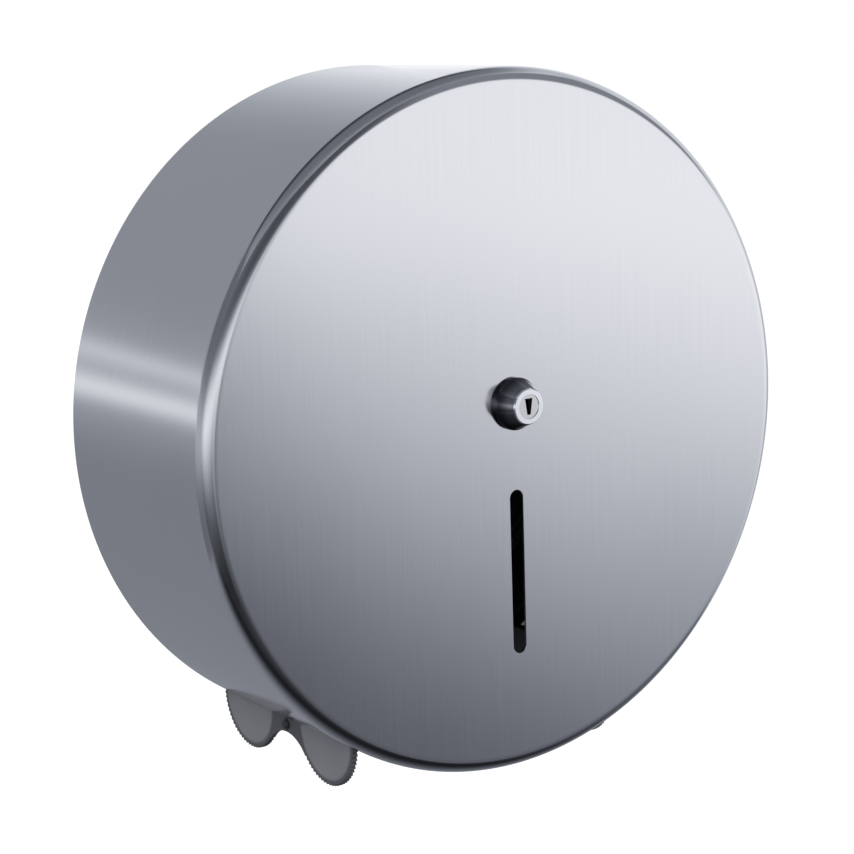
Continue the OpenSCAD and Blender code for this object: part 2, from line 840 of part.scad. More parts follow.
/* ---- roll hub ---- */

// Webs that join an inner tube to an outer one
module webs(r_in, r_out, from, to) {
    round_spindle(hub_webs, 0, 90)
        translate([r_in, -hub_wall / 2, from]) cube([r_out - r_in, hub_wall, to - from]);
}

module core_hub() {
    color("whitesmoke")
    at_spindle() {
        barrel_from = hub_rear + hub_flange_t;
        difference() {
            union() {
                rod(hub_flange_d / 2, hub_rear, barrel_from);
                rod(hub_boss_r, hub_rear, hub_front);
                tube(hub_d / 2, hub_d / 2 - hub_wall, hub_rear, hub_front);
                webs(hub_boss_r - 0.5, hub_d / 2 - hub_wall / 2, hub_rear, hub_front - 2);
            }
            rod(post_bore_r, 0, drum_depth);
        }
    }
}

module core_adapter() {
    color("lightsteelblue")
    at_spindle() {
        tube(adapter_in_r + hub_wall, adapter_in_r, adapter_rear, adapter_front);
        tube(adapter_d / 2, adapter_d / 2 - hub_wall, adapter_rear, adapter_front);
        webs(adapter_in_r + hub_wall / 2, adapter_d / 2 - hub_wall / 2, adapter_rear + 1, adapter_front - 1);
    }
}

back_plate();
hinge_leaf_fixed();
hinge_pin();
hinge_rivets_fixed();
spindle_flange();
flange_rivets();
spindle_post();
rear_washer();
front_washer();
keeper_cup();
keeper_plate();
keeper_screw();
cover_shell();
hinge_leaf_moving();
hinge_rivets_moving();
lock_housing();
lock_washer();
lock_nut();
cutter_left();
cutter_right();
cutter_backing_left();
cutter_backing_right();
cutter_rivets();
cutter_screws();
cutter_nuts();
lock_plug();
lock_wafers();
lock_clip();
lock_bar();
lock_bar_screw();
core_hub();
core_adapter();
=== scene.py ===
"""A wall-mounted jumbo toilet roll dispenser in satin stainless, dressed and lit."""
from math import asin, cos, hypot, pi, radians, sin, tan

import bmesh
import bpy
from mathutils import Matrix, Vector


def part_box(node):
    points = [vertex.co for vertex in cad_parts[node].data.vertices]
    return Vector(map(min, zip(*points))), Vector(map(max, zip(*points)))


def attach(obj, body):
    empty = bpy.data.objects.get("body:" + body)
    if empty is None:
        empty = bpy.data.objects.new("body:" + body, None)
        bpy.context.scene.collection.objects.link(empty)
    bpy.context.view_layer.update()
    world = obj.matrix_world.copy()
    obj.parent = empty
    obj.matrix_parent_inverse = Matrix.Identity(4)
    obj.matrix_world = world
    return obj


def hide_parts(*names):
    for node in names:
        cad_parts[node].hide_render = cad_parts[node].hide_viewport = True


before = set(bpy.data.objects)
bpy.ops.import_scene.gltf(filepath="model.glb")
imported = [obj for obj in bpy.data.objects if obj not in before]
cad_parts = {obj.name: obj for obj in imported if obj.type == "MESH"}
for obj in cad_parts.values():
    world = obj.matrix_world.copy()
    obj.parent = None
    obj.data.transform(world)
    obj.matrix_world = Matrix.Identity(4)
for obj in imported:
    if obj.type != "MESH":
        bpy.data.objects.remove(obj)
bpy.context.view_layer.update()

# ---- Camera ------------------------------------------------------------------------------
# A portrait lens stands to the left of the dispenser and a little above it. It is turned a
# touch about its own axis, and looks at a point halfway into the drum.
camera_azimuth = radians(-34.8)
camera_height = radians(11.04)
camera_roll = radians(-1.86)
camera_distance = 0.960
camera_target = Vector((-0.0063, -0.0568, -0.0070))
sensor = 36.0
image_width = 854
focal_pixels = 2142


def outward(azimuth, elevation):
    """The direction at an azimuth from the front, to the right, and an elevation."""
    return Vector((sin(azimuth) * cos(elevation), -cos(azimuth) * cos(elevation), sin(elevation)))


camera_data = bpy.data.cameras.new("camera")
camera_data.lens = focal_pixels / image_width * sensor
camera_data.sensor_width = sensor
camera_data.clip_end = 50
camera = bpy.data.objects.new("camera", camera_data)
bpy.context.scene.collection.objects.link(camera)
camera_back = outward(camera_azimuth, camera_height)
camera.matrix_world = (
    Matrix.Translation(camera_target + camera_distance * camera_back)
    @ camera_back.to_track_quat("Z", "Y").to_matrix().to_4x4()
    @ Matrix.Rotation(camera_roll, 4, "Z")
)
bpy.context.scene.camera = camera
bpy.context.scene.view_settings.view_transform = "Standard"


# ---- Studio ------------------------------------------------------------------------------
# A pale floor and a white backdrop all round. Polished sheet shows whatever stands about it,
# so grey boards with soft edges stand where only reflections meet them, and two soft lamps
# light the plastic and the inside.
class Wire:
    """A value in a material, on which Python's operators add Math nodes."""

    def __init__(self, finish, socket):
        self.finish = finish
        self.socket = socket

    def math(self, operation, *others):
        return self.finish.node("ShaderNodeMath", dict(enumerate((self, *others))), operation=operation)

    def __add__(self, other):
        return self.math("ADD", other)

    def __sub__(self, other):
        return self.math("SUBTRACT", other)

    def __mul__(self, other):
        return self.math("MULTIPLY", other)

    def __truediv__(self, other):
        return self.math("DIVIDE", other)

    def __pow__(self, other):
        return self.math("POWER", other)

    def __neg__(self):
        return self * -1

    def __rsub__(self, other):
        return -self + other

    __radd__ = __add__
    __rmul__ = __mul__


class Finish:
    """The node tree of a material or of the world, while it is being wired."""

    def __init__(self, owner):
        owner.use_nodes = True
        self.owner = owner
        self.tree = owner.node_tree

    def node(self, kind, values=None, out=0, stops=(), **settings):
        """Adds a node: its settings first, then the values or wires of its sockets."""
        new = self.tree.nodes.new(kind)
        for name, value in settings.items():
            setattr(new, name, value)
        for i, (place, color) in enumerate(stops):
            stop = new.color_ramp.elements[i] if i < 2 else new.color_ramp.elements.new(place)
            stop.position = place
            stop.color = color
        for name, value in (values or {}).items():
            self.join(value, new.inputs[name])
        return Wire(self, new.outputs[out])

    def join(self, value, socket):
        """Brings a wire, or a plain value, to a socket."""
        if isinstance(value, Wire):
            self.tree.links.new(value.socket, socket)
        else:
            socket.default_value = value

    def surface(self, color, roughness, metallic=0.0):
        """Sets what the whole surface shows."""
        shader = self.tree.nodes["Principled BSDF"]
        self.join(color, shader.inputs["Base Color"])
        self.join(roughness, shader.inputs["Roughness"])
        shader.inputs["Metallic"].default_value = metallic

    def show(self, shader):
        """Makes another shader what the material shows."""
        self.join(shader, self.tree.nodes["Material Output"].inputs["Surface"])

    def relief(self, height, depth):
        """Raises the surface by a depth in metres where a height is 1."""
        normal = self.node("ShaderNodeBump", {"Height": height, "Distance": depth})
        self.join(normal, self.tree.nodes["Principled BSDF"].inputs["Normal"])

    def blend(self, share, low, high):
        """Goes from a low colour to a high one, each written or wired, with a share from 0 to 1."""
        low, high = (color if isinstance(color, Wire) else (*color, 1) for color in (low, high))
        return self.node("ShaderNodeMix", {0: share, 6: low, 7: high}, out=2, data_type="RGBA")

    def cloud(self, size, detail=2.0):
        """Noise with soft lumps of a size in metres."""
        spot = self.node("ShaderNodeTexCoord", out="Object")
        return self.node("ShaderNodeTexNoise", {"Vector": spot, "Scale": 1 / size, "Detail": detail})

    def streaks(self, across, along, width, length, detail=2.0):
        """Noise drawn out into streaks of a width and length."""
        spot = self.node("ShaderNodeCombineXYZ", {0: across / width, 1: along / length})
        return self.node("ShaderNodeTexNoise", {"Vector": spot, "Scale": 1.0, "Detail": detail})

    def place(self):
        """The object's own X, Y and Z, in metres."""
        spot = self.node("ShaderNodeTexCoord", out="Object")
        separate = self.node("ShaderNodeSeparateXYZ", {0: spot})
        return [Wire(self, socket) for socket in separate.socket.node.outputs]

    def seen(self):
        """1 where the camera, a reflection or glass looks, 0 where light is gathered."""
        path = "ShaderNodeLightPath"
        looks = [self.node(path, out=f"Is {ray} Ray") for ray in ("Camera", "Glossy", "Transmission")]
        return (looks[0] + looks[1] + looks[2]).math("MINIMUM", 1)


backdrop = Finish(bpy.data.worlds.new("backdrop"))
bpy.context.scene.world = backdrop.owner
room_light = backdrop.blend(backdrop.seen(), (0.92, 0.93, 0.95), (1, 1, 1))
backdrop.join(room_light, backdrop.tree.nodes["Background"].inputs["Color"])


def studio_surface(name, corners, material):
    """A flat surface that belongs to the studio."""
    mesh = bpy.data.meshes.new(name)
    surface = bpy.data.objects.new(name, mesh)
    bpy.context.scene.collection.objects.link(surface)
    form = bmesh.new()
    form.faces.new([form.verts.new(corner) for corner in corners])
    form.to_mesh(mesh)
    form.free()
    mesh.materials.append(material)
    return surface


def level_square(half, up=0):
    """The corners of a level square."""
    return [(-half, -half, up), (half, -half, up), (half, half, up), (-half, half, up)]


floor_half = 15
floor_z = -1.6
floor_finish = Finish(bpy.data.materials.new("pale_floor"))
floor_finish.surface(floor_finish.blend(floor_finish.seen(), (0.06, 0.06, 0.06), (0.8, 0.8, 0.8)), 0.9)
bare_floor = Wire(floor_finish, floor_finish.tree.nodes["Principled BSDF"].outputs[0])
glow = floor_finish.node("ShaderNodeEmission", {"Color": (1, 1, 1, 1), "Strength": 0.3})
lit_floor = floor_finish.node("ShaderNodeAddShader", {0: bare_floor, 1: glow})
floor_look = {0: floor_finish.seen(), 1: bare_floor, 2: lit_floor}
floor_finish.show(floor_finish.node("ShaderNodeMixShader", floor_look))
studio_surface("floor", level_square(floor_half, floor_z), floor_finish.owner)

board_distance = 2.4
low_board_z = -1.5
high_board_z = 2.4


def board(name, corners, place):
    """A board that only reflections see."""
    finish = Finish(bpy.data.materials.new(name))
    finish.tree.nodes.remove(finish.tree.nodes["Principled BSDF"])
    surface = studio_surface(name, corners, finish.owner)
    surface.matrix_world = place
    surface.visible_camera = False
    surface.visible_diffuse = False
    surface.visible_shadow = False
    return finish


def upright_board(name, azimuth, width):
    """Its azimuth and width are angles at the dispenser, and its distance is 1 in its own units."""
    side = tan(width / 2)
    low = low_board_z / board_distance
    top = high_board_z / board_distance
    return board(
        name,
        [(-side, 0, low), (side, 0, low), (side, 0, top), (-side, 0, top)],
        Matrix.Rotation(azimuth, 4, "Z")
        @ Matrix.Translation((0, -board_distance, 0))
        @ Matrix.Scale(board_distance, 4),
    )


def level_board(name, height, half):
    """A square board above or below the dispenser."""
    return board(name, level_square(half), Matrix.Translation((0, 0, height)))


brightest = 1.2
board_tones = [
    (0, (0, 0, 0, 1)),
    (0.17, (0.158, 0.168, 0.198, 1)),
    (0.45, (0.43, 0.449, 0.498, 1)),
    (0.85, (0.84, 0.855, 0.895, 1)),
    (1, (1, 1, 1.03, 1)),
]


def paint_board(finish, tone):
    """Paints a board: its darker tones are bluish, as the shade in a white room is."""
    color = finish.node("ShaderNodeValToRGB", {0: tone / brightest}, stops=board_tones)
    finish.show(finish.node("ShaderNodeEmission", {"Color": color, "Strength": brightest}))


def soft_step(value, start, end, low=0.0, high=1.0):
    """Goes smoothly from low to high while a value goes from start to end."""
    limits = {"Value": value, "From Min": start, "From Max": end, "To Min": low, "To Max": high}
    return value.finish.node("ShaderNodeMapRange", limits, interpolation_type="SMOOTHSTEP")


def soft_line(value, middle, width):
    """1 along a line and 0 away from it."""
    off = (value - middle) / width
    return (-off * off).math("EXPONENT")


# To the front right: the face shows it, dark at its lower left and pale above
face_board = upright_board("face_board", radians(38), radians(76))
across, _, height = face_board.place()
ramp = soft_step(height + 0.4 * across, -0.48, 0.0, low=0.14, high=1.07)
above = soft_step(height, 0.1, 0.25, low=1.0, high=0.25)
left_end = soft_step(across, -0.42, -0.14, low=0.35, high=1.0)
low_right = soft_step(across, 0.0, 0.08, high=0.15) * soft_line(height, -0.29, 0.09)
low_left = soft_step(across, -0.2, -0.11, low=0.11, high=0.0)
low_left = low_left * soft_step(height, -0.25, -0.15, low=1.0, high=0.0)
left_light = soft_step(across, -0.6, -0.25, low=0.75, high=0.0) * soft_line(height, -0.06, 0.2)
upper_light = soft_step(across, -0.2, -0.1, low=0.14, high=0.05) * soft_line(height, -0.055, 0.045)
paint_board(face_board, ramp * above * left_end * (1 - low_right - low_left) + left_light + upper_light)

# To the front left: the rounded edge shows it, as a bright line where the board is pale
edge_board = upright_board("edge_board", radians(-40), radians(80))
across, _, height = edge_board.place()
ramp = soft_step(height, -0.62, -0.2, low=0.018, high=0.085)
left_light = soft_step(across, -0.84, 0.5, low=0.08, high=0.0)
pale_line = soft_step(across, -0.84, -0.2, low=0.5, high=0.9) * soft_line(height, 0.01, 0.2)
paint_board(edge_board, ramp + left_light + pale_line)

# To the left and right: the edge's outer part shows them, paler at the right
left_board = upright_board("left_board", radians(-108), radians(56))
_, _, height = left_board.place()
paint_board(left_board, 0.17 + 0.34 * soft_line(height, -0.02, 0.2))
right_board = upright_board("right_board", radians(111), radians(70))
across, _, height = right_board.place()
ramp = soft_step(height, -0.3, 0.25, low=0.52, high=0.78) - soft_step(height, 0.6, 0.95, high=0.2)
rear_light = soft_step(across, 0.3, 0.68, high=0.3) * soft_line(height, 0.1, 0.2)
paint_board(right_board, ramp + rear_light)

# Below and above: the rounded edge shows them, the low one darkest in front and the high one
# darkest in the middle and behind
low_board = level_board("low_board", low_board_z, half=6.0)
across, to_rear, _ = low_board.place()
ramp = soft_step(to_rear - 0.15 * across, -1.1, 1.1, low=0.015, high=0.26)
front_light = soft_step(to_rear, -2.4, -1.4, low=0.022, high=0.0)
side_light = soft_step(across, -2.6, -1.6, low=0.06, high=0.0) + soft_step(across, 0.9, 2.2, high=0.12)
paint_board(low_board, ramp + front_light + side_light)
high_board = level_board("high_board", high_board_z, half=3.4)
across, to_rear, _ = high_board.place()
ramp = soft_step((across**2 + to_rear**2) ** 0.5, 0.9, 3.4, low=0.19, high=0.42)
rear_end = soft_step(to_rear, 0.2, 1.6, low=1.0, high=0.2)
paint_board(high_board, ramp * rear_end + soft_step(across, 1.5, 2.5, high=0.33))

# Behind: the drum's side shows it, with two slits of white at eye level
rear_board = upright_board("rear_board", radians(-175), radians(78))
across, _, height = rear_board.place()
wing = (-0.15 - across).math("MAXIMUM", 0)
ramp = soft_step(height, -0.3, 0.3, low=0.26, high=0.34) + 0.16 * soft_line(height, 0.03, 0.17)
slits = 0.50 * soft_line(height, -0.01, 0.04) + 0.30 * soft_line(height, 0.115, 0.035)
wing_light = 1.35 * wing * wing * soft_step(height, 0.0, 0.3)
paint_board(rear_board, ramp + slits + wing_light)


def lamp(name, azimuth, elevation, distance, size, power):
    """A soft round lamp that points at the dispenser and that no reflection shows."""
    data = bpy.data.lights.new(name, "AREA")
    data.shape = "DISK"
    data.size = size
    data.energy = power
    light = bpy.data.objects.new(name, data)
    bpy.context.scene.collection.objects.link(light)
    toward = outward(azimuth, elevation)
    turned_in = toward.to_track_quat("Z", "Y").to_matrix().to_4x4()
    light.matrix_world = Matrix.Translation(toward * distance) @ turned_in
    light.visible_glossy = False


lamp("upper_right_lamp", radians(45), radians(50), distance=2.2, size=1.2, power=20)
lamp("upper_left_lamp", radians(-60), radians(35), distance=2.4, size=1.0, power=12)


# ---- Cover ---------------------------------------------------------------------------------
# The drum is one deep-drawn sheet of stainless with a rounded front edge, belt-ground to a
# satin: upright on the face and round the drum on its side. The level slot and the lock's
# hole are punched, and the outlet is sheared and turned up at its sides into two flaps.
cover_low, cover_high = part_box("cover_shell")
drum_radius = cover_high[0]
drum_rear = -cover_high[1]
drum_front = -cover_low[1]
front_edge = 0.006
sheet = 0.001
slot_width, slot_length, slot_top = 0.007, 0.073, -0.0275
lock_low, lock_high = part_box("lock_housing")
lock_up = (lock_low[2] + lock_high[2]) / 2
lock_hole, lock_flats = 0.0096, 0.0086
outlet_left, outlet_right, outlet_front = -0.0855, 0.0555, 0.1095
outlet_below = -0.09
flap_rear, flap_front = 0.012, 0.1015
left_flap_top, right_flap_top = -0.10828, -0.11474
flaps = {"left": (-1, outlet_left, left_flap_top), "right": (1, outlet_right, right_flap_top)}
leaf_notch_depth, leaf_notch_half = 0.0029, 0.0287
streak_width, streak_length, streak_turn = 0.0005, 0.08, 0.5
near, very_near = 1e-6, 1e-7


def satin_stainless(name, round_drum=False):
    """Ground sheet: fine streaks a hand long, and faint clouds where the belt pressed harder.
    The drum's inner skin is left rougher, as it came from the mill, and its colour is darker: painted shade
    for the little light within the drum."""
    finish = Finish(bpy.data.materials.new(name))
    x, y, z = finish.place()
    grain = finish.streaks(x, z, streak_width, streak_length, detail=3.0)
    if round_drum:
        side_grain = finish.streaks(y, x.math("ARCTAN2", z), streak_width, streak_turn, detail=3.0)
        on_face = soft_step(-y, drum_front - 0.8 * front_edge, drum_front - 0.2 * front_edge)
        grain = side_grain + on_face * (grain - side_grain)
    cloud = finish.cloud(0.05)
    tone = finish.blend(0.75 * grain + 0.25 * cloud, (0.675, 0.68, 0.692), (0.765, 0.77, 0.778))
    roughness = 0.08 + 0.08 * grain + 0.03 * cloud
    if round_drum:
        past_side = ((x**2 + z**2) ** 0.5 - (drum_radius - front_edge)).math("MAXIMUM", 0)
        past_face = (-y - (drum_front - front_edge)).math("MAXIMUM", 0)
        to_skin = (past_side**2 + past_face**2) ** 0.5
        # Painted shade on the drum's inner skin: its colour is darkened there, and it is left rougher as
        # from the mill
        mill_skin_and_painted_shade = soft_step(to_skin, front_edge - 0.6 * sheet, front_edge - 0.3 * sheet, low=1.0, high=0.0)
        tone = finish.blend(mill_skin_and_painted_shade, tone, finish.blend(cloud, (0.36, 0.362, 0.37), (0.46, 0.462, 0.47)))
        roughness = roughness + 0.22 * mill_skin_and_painted_shade
    finish.surface(tone, roughness, metallic=1.0)
    finish.relief(grain, 0.000003)
    return finish


def add_piece(name, form, body, finish, slot, *nodes):
    """Makes a finished mesh a piece that rides on a body and stands for CAD nodes."""
    for face in form.faces:
        face.smooth = True
    for edge in form.edges:
        edge.smooth = edge.is_manifold and edge.calc_face_angle() < radians(20)
    mesh = bpy.data.meshes.new(name)
    form.to_mesh(mesh)
    form.free()
    mesh.materials.append(finish.owner)
    piece = bpy.data.objects.new(name, mesh)
    bpy.context.scene.collection.objects.link(piece)
    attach(piece, body)
    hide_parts(*nodes)


def spin_line(form, spots, axis, steps):
    """Spins a line through some spots once round an axis through the origin."""
    corners = [form.verts.new(spot) for spot in spots]
    line = [form.edges.new(pair) for pair in zip(corners, corners[1:])]
    bmesh.ops.spin(form, geom=corners + line, axis=axis, angle=2 * pi, steps=steps, use_merge=True)


def spin_sheet(form, section, steps):
    """Spins a section of radii and depths round the drum's axis."""
    spin_line(form, [(radius, -depth, 0) for radius, depth in section], (0, 1, 0), steps)


def faces_where(form, test):
    """The faces whose middle passes a test of its X, Y and Z."""
    return [face for face in form.faces if test(*face.calc_center_median())]


def shear(form, test, spot, normal):
    """Cuts along a plane through the faces that pass a test."""
    faces = faces_where(form, test)
    edges = {edge for face in faces for edge in face.edges}
    corners = {corner for face in faces for corner in face.verts}
    parts = [*faces, *edges, *corners]
    bmesh.ops.bisect_plane(form, geom=parts, plane_co=spot, plane_no=normal, dist=very_near)


def cut_away(form, test):
    """Takes out the faces that pass a test."""
    bmesh.ops.delete(form, geom=faces_where(form, test), context="FACES")


def punch(form, x, z, depth, radius, segments=16, turn=0):
    """The corners of a round hole in a sheet that faces the front."""
    upright = Matrix.Rotation(pi / 2, 4, "X") @ Matrix.Rotation(turn, 4, "Z")
    place = Matrix.Translation((x, -depth, z)) @ upright
    return bmesh.ops.create_circle(form, segments=segments, radius=radius, matrix=place)["verts"]


def open_ring(form, radius):
    """The open edges of a sheet along a ring round the drum's axis."""
    return {
        edge for edge in form.edges if edge.is_boundary
        and all(abs(hypot(corner.co.x, corner.co.z) - radius) < 10 * near for corner in edge.verts)
    }


def fill_flat(form, rings, holes):
    """Fills the flat part of a sheet between its rings, and leaves its holes open."""
    hole_corners = set(holes)
    edges = [edge for edge in form.edges if edge in rings or hole_corners.issuperset(edge.verts)]
    bmesh.ops.triangle_fill(form, use_beauty=True, edges=edges, normal=(0, -1, 0))


def thicken(form, edge_break):
    """Turns a sheet's skin to the front, thickens it inwards and breaks its sharp edges."""
    bmesh.ops.remove_doubles(form, verts=form.verts, dist=very_near)
    bmesh.ops.recalc_face_normals(form, faces=form.faces)
    if sum(face.normal.y * face.calc_area() for face in form.faces) > 0:
        bmesh.ops.reverse_faces(form, faces=form.faces)
    bmesh.ops.solidify(form, geom=form.faces[:], thickness=sheet)
    sharp = [edge for edge in form.edges if edge.is_manifold and edge.calc_face_angle() > radians(50)]
    bmesh.ops.bevel(
        form, geom=sharp, offset=edge_break, segments=2, profile=0.5, affect="EDGES", material=-1
    )


def around_outlet(x, y, z):
    return z < outlet_below and y > -drum_front


def in_outlet(x, y, z):
    return outlet_left < x < outlet_right and y > -outlet_front and z < 0


def at_rear_right(x, y, z):
    return x > 0 and y > -leaf_notch_depth


def in_leaf_notch(x, y, z):
    return at_rear_right(x, y, z) and abs(z) < leaf_notch_half


# The drum's section runs from its rear edge round to the face
cover = bmesh.new()
side_rings = [drum_rear, leaf_notch_depth, flap_rear - sheet, flap_rear, flap_front, flap_front + sheet,
              drum_front - front_edge - sheet]
section = [(drum_radius, depth) for depth in side_rings]
arc_steps = 14
for step in range(arc_steps + 1):
    lean = step / arc_steps * pi / 2
    section.append((drum_radius - front_edge * (1 - cos(lean)), drum_front - front_edge * (1 - sin(lean))))
face_radius = drum_radius - front_edge - sheet
section.append((face_radius, drum_front))
spin_sheet(cover, section, steps=256)

# The outlet and the notch over the fixed hinge leaf are sheared out of its side
shear(cover, around_outlet, (outlet_left, 0, 0), (1, 0, 0))
shear(cover, around_outlet, (outlet_right, 0, 0), (1, 0, 0))
shear(cover, around_outlet, (0, -outlet_front, 0), (0, 1, 0))
for side in (-1, 1):
    shear(cover, at_rear_right, (0, 0, side * leaf_notch_half), (0, 0, 1))
cut_away(cover, in_outlet)
cut_away(cover, in_leaf_notch)


def on_bend(corner, flap_x):
    """Whether a corner of the drum lies on the line where a flap is bent."""
    x, y, z = corner.co
    along = flap_rear - near < -y < flap_front + near
    return along and abs(x - flap_x) < near and z < outlet_below


# The flaps are turned up at the outlet's sides
for side, flap_x, flap_top in flaps.values():
    bend = [edge for edge in cover.edges if all(on_bend(corner, flap_x) for corner in edge.verts)]
    for part in bmesh.ops.extrude_edge_only(cover, edges=bend)["geom"]:
        if isinstance(part, bmesh.types.BMVert):
            part.co.z = flap_top

# The slot is a round hole drawn out downwards, and the lock's hole has two flats
slot_round = slot_width / 2
slot_hole = punch(cover, 0, slot_top - slot_round, drum_front, slot_round, segments=32, turn=pi / 32)
for corner in slot_hole:
    if corner.co.z < slot_top - slot_round:
        corner.co.z -= slot_length - slot_width
barrel_hole = punch(cover, 0, lock_up, drum_front, lock_hole, segments=48)
for corner in barrel_hole:
    corner.co.x = max(-lock_flats, min(lock_flats, corner.co.x))
fill_flat(cover, open_ring(cover, face_radius), slot_hole + barrel_hole)
thicken(cover, edge_break=0.00015)
drum_satin = satin_stainless("satin_stainless_drum", round_drum=True)
add_piece("cover_sheet", cover, "cover", drum_satin, "satin_stainless", "cover_shell")


# ---- Back plate ----------------------------------------------------------------------------
# A disc of the same sheet, with a pressed stiffening bead and a rim turned up round most of
# its edge. Four holes take the wall screws, and small ones the rivets of hinge and flange.
plate_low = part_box("back_plate")[0]
plate_radius = -plate_low[0]
rim_height = -plate_low[1]
rim_bend = 0.0012
rim_start = sheet + rim_bend
rim_in = plate_radius - 4 * sheet
rim_gap = 0.006
bead_ring, bead_half, bead_height = 0.118, 0.0048, 0.0016
bead_in, bead_out = bead_ring - bead_half - sheet, bead_ring + bead_half + sheet
wall_screw_hole, wall_screw_out = 0.00325, 0.060
hinge_rivet_x, hinge_rivet_up, hinge_rivet_hole = 0.13702, 0.019, 0.0017
flange_rivet_ring, flange_rivet_hole = 0.037, 0.0025
flange_rivet_out = flange_rivet_ring * cos(pi / 4)


def on_rim(x, y, z):
    return -y > rim_start and hypot(x, z) > rim_in


def over_outlet(x, y, z):
    return on_rim(x, y, z) and z < outlet_below and outlet_left - rim_gap < x < outlet_right + rim_gap


def behind_hinge(x, y, z):
    return on_rim(x, y, z) and x > 0 and abs(z) < leaf_notch_half


# The bead is a wave with flat metal beside it, and the rim stands on a small bend
plate = bmesh.new()
bead = [(bead_in, sheet)]
for step in range(-8, 9):
    off = step / 8
    bead.append((bead_ring + off * bead_half, sheet + bead_height * (1 + cos(off * pi)) / 2))
bead.append((bead_out, sheet))
spin_sheet(plate, bead, steps=192)
rim = [(rim_in, sheet)]
for step in range(6):
    lean = step / 5 * pi / 2
    rim.append((plate_radius - sheet - rim_bend * (1 - sin(lean)), sheet + rim_bend * (1 - cos(lean))))
rim.append((plate_radius - sheet, rim_height))
spin_sheet(plate, rim, steps=192)

# The rim is left out over the outlet and behind the hinge
shear(plate, on_rim, (outlet_left - rim_gap, 0, 0), (1, 0, 0))
shear(plate, on_rim, (outlet_right + rim_gap, 0, 0), (1, 0, 0))
for side in (1, -1):
    shear(plate, on_rim, (0, 0, side * leaf_notch_half), (0, 0, 1))
cut_away(plate, over_outlet)
cut_away(plate, behind_hinge)

# The flat parts are filled in round their holes
holes = []
for side in (-1, 1):
    for up in (-1, 1):
        screw_spot = (side * wall_screw_out, up * wall_screw_out)
        rivet_spot = (side * flange_rivet_out, lock_up + up * flange_rivet_out)
        holes += punch(plate, *screw_spot, sheet, wall_screw_hole, segments=32)
        holes += punch(plate, *rivet_spot, sheet, flange_rivet_hole)
fill_flat(plate, open_ring(plate, bead_in), holes)
holes = []
for up in (-1, 0, 1):
    holes += punch(plate, hinge_rivet_x, up * hinge_rivet_up, sheet, hinge_rivet_hole)
fill_flat(plate, open_ring(plate, bead_out) | open_ring(plate, rim_in), holes)
thicken(plate, edge_break=0.00012)
plate_satin = satin_stainless("satin_stainless_plate")
add_piece("plate_sheet", plate, "wall_unit", plate_satin, "satin_stainless", "back_plate")


# ---- Hinge ---------------------------------------------------------------------------------
# Two stamped leaves of plain rolled stainless turn on a pin, and are riveted to the back
# plate and to the drum. The rolled sheet is greyer and duller than the ground drum.
leaf = 0.0012
rivet_shank = 0.0032
drum_rivet_depth = 0.02184
under_head = 0.0001


def metal(name, dark, pale, roughness, spread=0.1, patch=0.012):
    """Mill or turned metal: soft patches, fine scratches, and a roughness that varies with both."""
    finish = Finish(bpy.data.materials.new(name))
    x, y, z = finish.place()
    patches = finish.cloud(patch, detail=3.0)
    scratches = finish.streaks(x + y, z, 0.0004, 0.012)
    mark = 0.6 * patches + 0.4 * scratches
    finish.surface(finish.blend(mark, dark, pale), mark * spread + (roughness - spread / 2), metallic=1.0)
    finish.relief(scratches, 0.000004)
    return finish


def finish_nodes(finish, *nodes):
    """Gives CAD nodes one finish."""
    for node in nodes:
        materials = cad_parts[node].data.materials
        materials.clear()
        materials.append(finish.owner)


plain_stainless = metal("plain_stainless", (0.50, 0.505, 0.515), (0.68, 0.685, 0.695), 0.3)
finish_nodes(plain_stainless, "hinge_leaf_fixed", "hinge_leaf_moving", "hinge_pin")


def add_rivets(name, body, node, shank, grip, places, flush=False):
    """Domed rivets: each has a spot under its head and the way that its head faces."""
    radius = shank / 2
    head_out, head_up, head_steps = 0.95 * shank, 0.42 * shank, 7
    section = []
    for step in range(head_steps + 1):
        lean = step / head_steps * pi / 2
        section.append((head_out * sin(lean), head_up * cos(lean)))
    section += [(radius, 0), (radius, -grip)]
    if not flush:
        section += [(out * radius, -grip - up * shank) for out, up in ((1.5, 0), (1.45, 0.2), (1.2, 0.3))]
    section.append((0, section[-1][1]))
    form = bmesh.new()
    for spot, facing in places:
        others = set(form.verts)
        spin_line(form, [(out, 0, up) for out, up in section], (0, 0, 1), steps=28)
        place = Matrix.Translation(spot) @ Vector(facing).to_track_quat("Z", "Y").to_matrix().to_4x4()
        new = [corner for corner in form.verts if corner not in others]
        bmesh.ops.transform(form, matrix=place, verts=new)
    bmesh.ops.remove_doubles(form, verts=form.verts, dist=near)
    bmesh.ops.recalc_face_normals(form, faces=form.faces)
    add_piece(name, form, body, plain_stainless, "plain_stainless", node)


on_plate, on_drum = [], []
for up in (-1, 0, 1):
    on_plate.append(((hinge_rivet_x, -sheet - leaf, up * hinge_rivet_up), (0, -1, 0)))
    lean = asin(up * hinge_rivet_up / drum_radius)
    outwards = Vector((cos(lean), 0, sin(lean)))
    spot = outwards * (drum_radius + leaf + under_head) + Vector((0, -drum_rivet_depth, 0))
    on_drum.append((spot, outwards))
add_rivets("hinge_rivets_on_plate", "wall_unit", "hinge_rivets_fixed",
           rivet_shank, sheet + leaf, on_plate, flush=True)
add_rivets("hinge_rivets_on_drum", "cover", "hinge_rivets_moving",
           rivet_shank, sheet + leaf + 1.5 * under_head, on_drum)


# ---- Cutters -------------------------------------------------------------------------------
# Two grey plastic blades hang at the sides of the outlet, each with two toothed lobes. They
# are riveted to the flaps through a blackened strip, and a screw and nut hold each valley.
lobe_middle, lobe_half_pitch, lobe_drop = 0.0553, 0.0317, 0.0177
lobe_plain, lobe_teeth = 0.0185, 0.0205
flap_rivet_depths = (0.026, 0.0875)
flap_rivet_drop, flap_rivet_grip = 0.006, 0.0045


